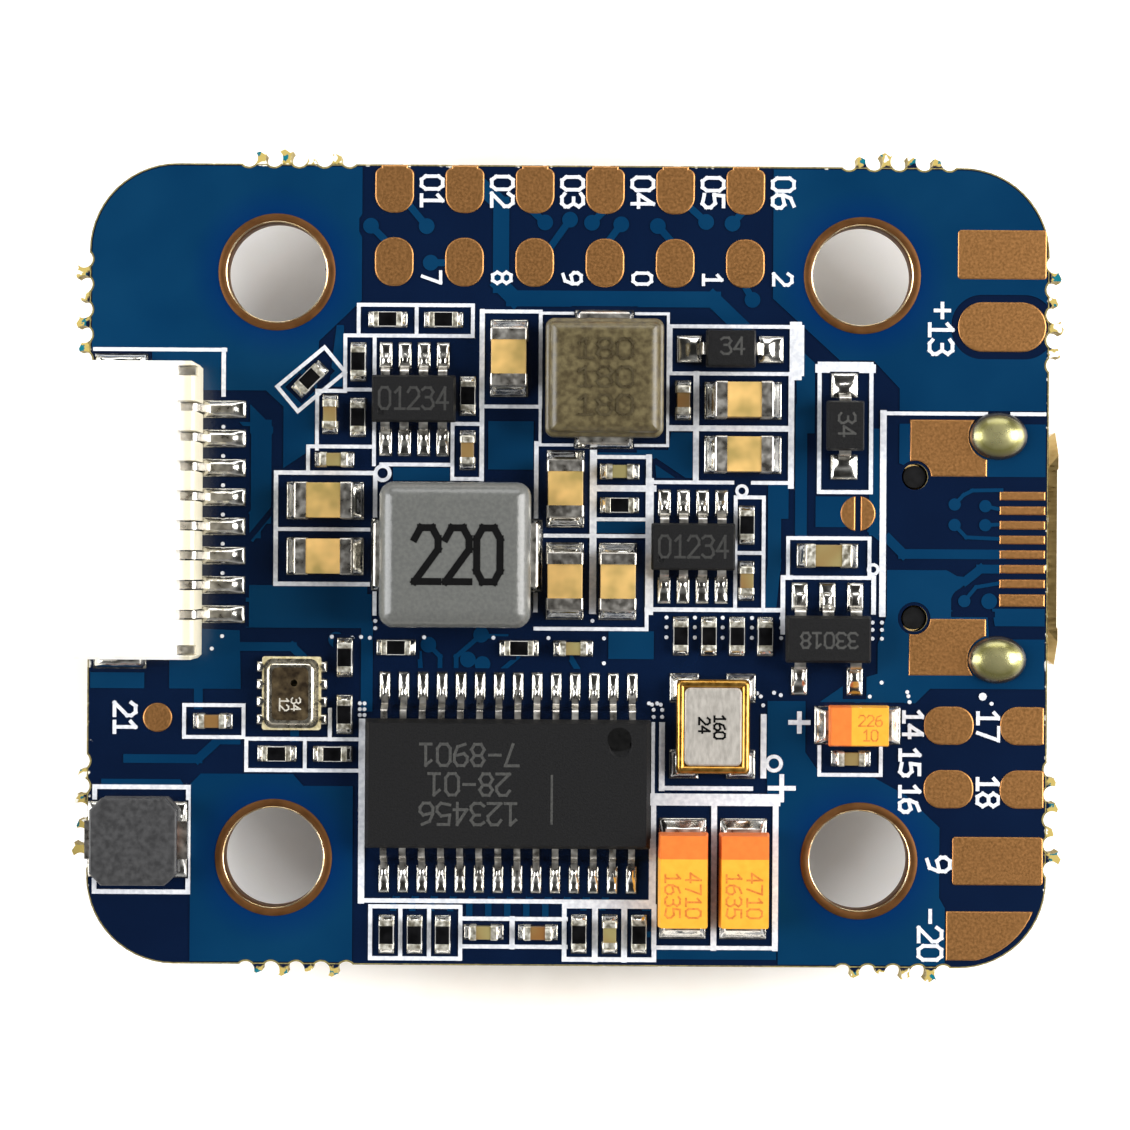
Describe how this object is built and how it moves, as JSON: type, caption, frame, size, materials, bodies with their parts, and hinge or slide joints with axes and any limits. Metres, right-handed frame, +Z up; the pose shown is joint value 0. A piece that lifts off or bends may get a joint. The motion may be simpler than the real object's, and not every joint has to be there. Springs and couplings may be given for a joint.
{
  "type": "flight controller board",
  "caption": "Rectangular drone flight controller board: blue circuit board with four plated mounting holes, components on both faces, side-entry connector, USB socket and boot button.",
  "frame": {"origin": "centre of the square of four mounting holes, on the laminate's lower face", "axes": "+X along the board to the edge with the USB socket, +Y to the edge with the two rows of signal pads, +Z up out of the face with the display chip and the motor controller connector"},
  "size_m": [0.0338, 0.0284, 0.0069],
  "materials": {
    "solder_mask": "semi-gloss blue solder mask over woven glass-epoxy laminate",
    "immersion_gold": "immersion gold over nickel and copper",
    "tinned_copper": "hot-air levelled solder over copper",
    "tinned_leads": "tin-plated copper alloy",
    "solder": "reflowed tin solder, bright",
    "connector_nylon": "natural glass-filled nylon",
    "epoxy_moulding": "black epoxy moulding compound, fine spark-eroded texture",
    "grey_iron_powder": "grey coated pressed iron powder",
    "olive_iron_powder": "olive-brown pressed iron powder",
    "ferrite": "fired nickel-zinc ferrite",
    "enamelled_copper": "enamelled copper winding",
    "crystal_ceramic": "fired ceramic tub with a gold-plated seal ring",
    "kovar_lid": "nickel-plated alloy lid",
    "quartz": "lapped quartz with silver electrodes",
    "sensor_substrate": "glass-epoxy substrate with gold castellations",
    "sensor_lid": "drawn nickel silver lid",
    "silicon": "polished silicon",
    "tantalum_epoxy": "yellow epoxy with an orange polarity band",
    "barium_titanate": "fired tan dielectric ceramic",
    "alumina": "fired white alumina",
    "resistor_glaze": "black protective glaze",
    "socket_steel": "gold-flashed drawn steel",
    "black_polymer": "black liquid crystal polymer",
    "contact_gold": "gold-flashed phosphor bronze",
    "switch_steel": "stainless steel",
    "plunger_resin": "dark heat-resistant nylon",
    "lamp_resin": "clear resin over a white base"
  },
  "bodies": {
    "board": {"circuit_board": "solder_mask", "mounting_hole_plating": "immersion_gold", "signal_pads": "immersion_gold", "power_pads": "immersion_gold", "video_pads": "immersion_gold", "spare_usb_pads": "immersion_gold", "test_pads": "immersion_gold", "component_lands": "tinned_copper", "motor_connector_housing": "connector_nylon", "motor_connector_contacts": "tinned_leads", "motor_connector_anchors": "tinned_leads", "display_chip_body": "epoxy_moulding", "display_chip_leads": "tinned_leads", "switching_regulator_bodies": "epoxy_moulding", "switching_regulator_leads": "tinned_leads", "linear_regulator_bodies": "epoxy_moulding", "linear_regulator_leads": "tinned_leads", "main_inductor_body": "grey_iron_powder", "main_inductor_coil": "enamelled_copper", "main_inductor_terminals": "tinned_leads", "second_inductor_body": "olive_iron_powder", "second_inductor_coil": "enamelled_copper", "second_inductor_terminals": "tinned_leads", "filter_inductor_core": "ferrite", "filter_inductor_coil": "enamelled_copper", "filter_inductor_terminals": "tinned_leads", "crystal_bases": "crystal_ceramic", "crystal_lids": "kovar_lid", "quartz_blanks": "quartz", "barometer_base": "sensor_substrate", "barometer_lid": "sensor_lid", "barometer_die": "silicon", "large_tantalum_bodies": "tantalum_epoxy", "large_tantalum_terminals": "tinned_leads", "small_tantalum_body": "tantalum_epoxy", "small_tantalum_terminals": "tinned_leads", "large_capacitor_bodies": "barium_titanate", "large_capacitor_terminals": "tinned_leads", "small_capacitor_bodies": "barium_titanate", "small_capacitor_terminals": "tinned_leads", "resistor_bodies": "alumina", "resistor_coats": "resistor_glaze", "resistor_terminals": "tinned_leads", "diode_bodies": "epoxy_moulding", "diode_leads": "tinned_leads", "usb_leg_solder": "solder", "usb_shell": "socket_steel", "usb_insulator": "black_polymer", "usb_contacts": "contact_gold", "processor_body": "epoxy_moulding", "processor_leads": "tinned_leads", "gyro_body": "epoxy_moulding", "flash_body": "epoxy_moulding", "flash_leads": "tinned_leads", "status_lights": "lamp_resin", "button_base": "black_polymer", "button_dome": "switch_steel", "button_cover": "switch_steel", "button_terminals": "tinned_leads"},
    "boot_plunger": {"button_plunger": "plunger_resin"}
  },
  "joints": [
    {"name": "boot_press", "type": "slide", "parent": "board", "child": "boot_plunger", "axis": [0, 0, 1], "range_m": [0, 0.00025], "stiffness_N_per_m": 6400, "deforming": ["button_dome"]}
  ]
}
